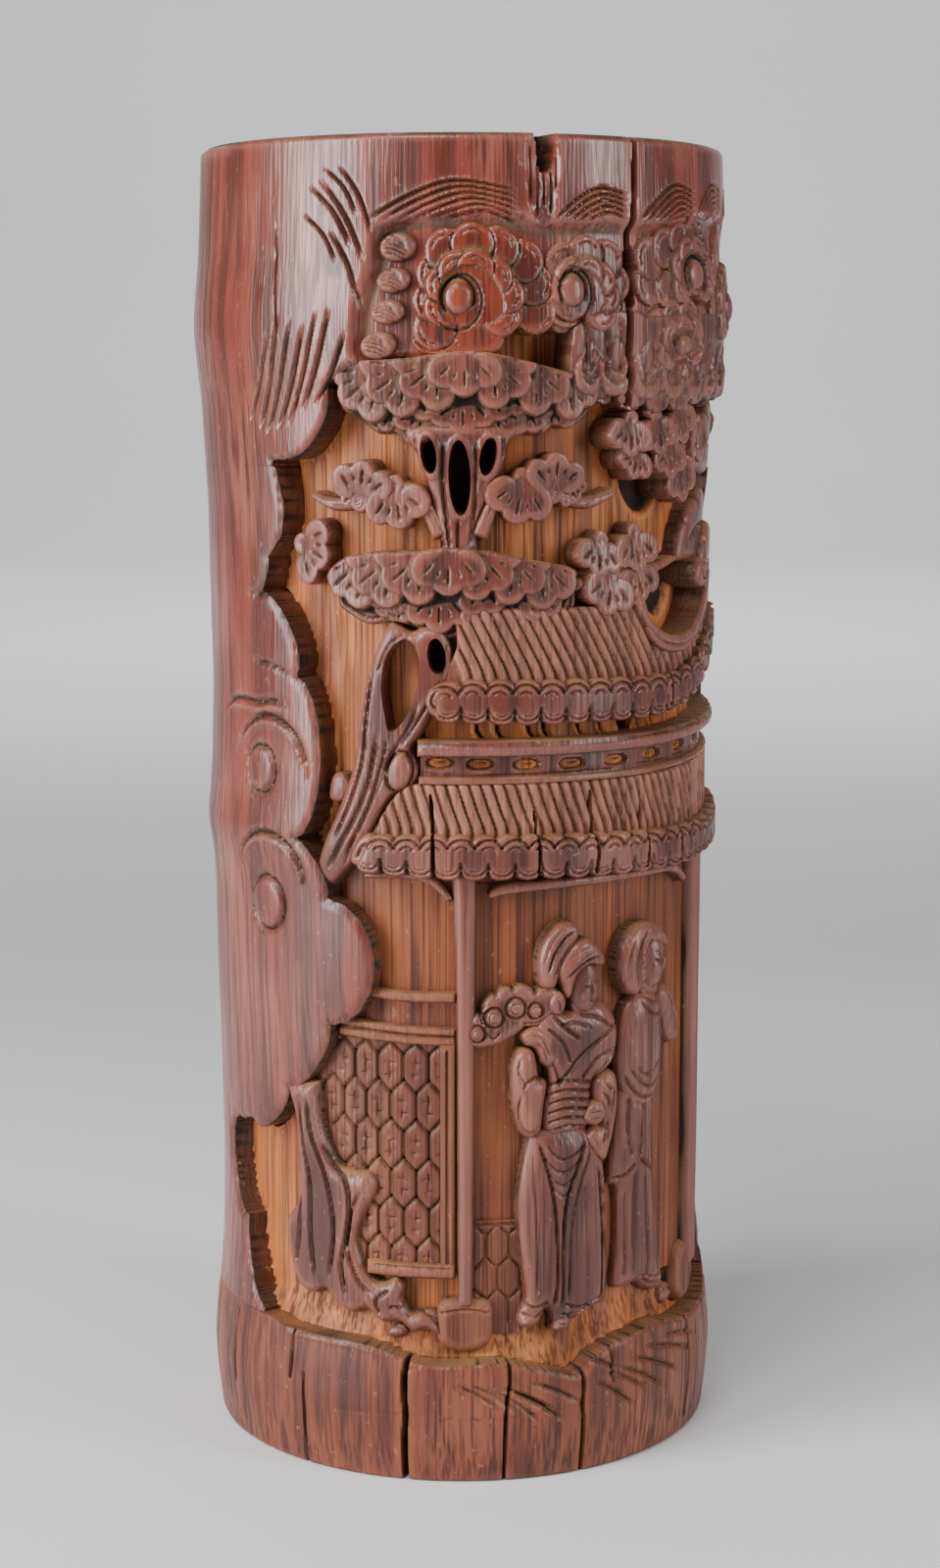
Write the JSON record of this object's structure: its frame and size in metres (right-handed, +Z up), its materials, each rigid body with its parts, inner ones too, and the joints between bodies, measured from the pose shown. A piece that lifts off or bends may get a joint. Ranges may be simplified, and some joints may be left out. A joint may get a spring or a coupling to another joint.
{
  "type": "brush pot",
  "caption": "Tall cylindrical bamboo pot that stands writing brushes upright, with pierced-look relief carving of pines, pavilions, clouds and figures, and a wooden floor let into its foot.",
  "frame": {"origin": "centre of the foot, on the surface that the pot stands on", "axes": "+Z up along the culm's axis, -Y towards the middle of the carved front, +X to the right of the carved front"},
  "size_m": [0.1252, 0.1252, 0.3],
  "materials": {
    "bamboo_culm": "polished reddish-brown bamboo skin, with darker carved tops and an ochre ground",
    "disc_wood": "turned dark hardwood, waxed",
    "lacquer_putty": "dark lacquer filler, satin",
    "peg_bamboo": "pale bamboo end grain, matt"
  },
  "bodies": {
    "root": {"culm_body": "bamboo_culm", "base_disc": "disc_wood", "base_lacquer_bead": "lacquer_putty", "base_peg_left": "peg_bamboo", "base_peg_back": "peg_bamboo", "base_peg_right": "peg_bamboo"}
  },
  "joints": []
}
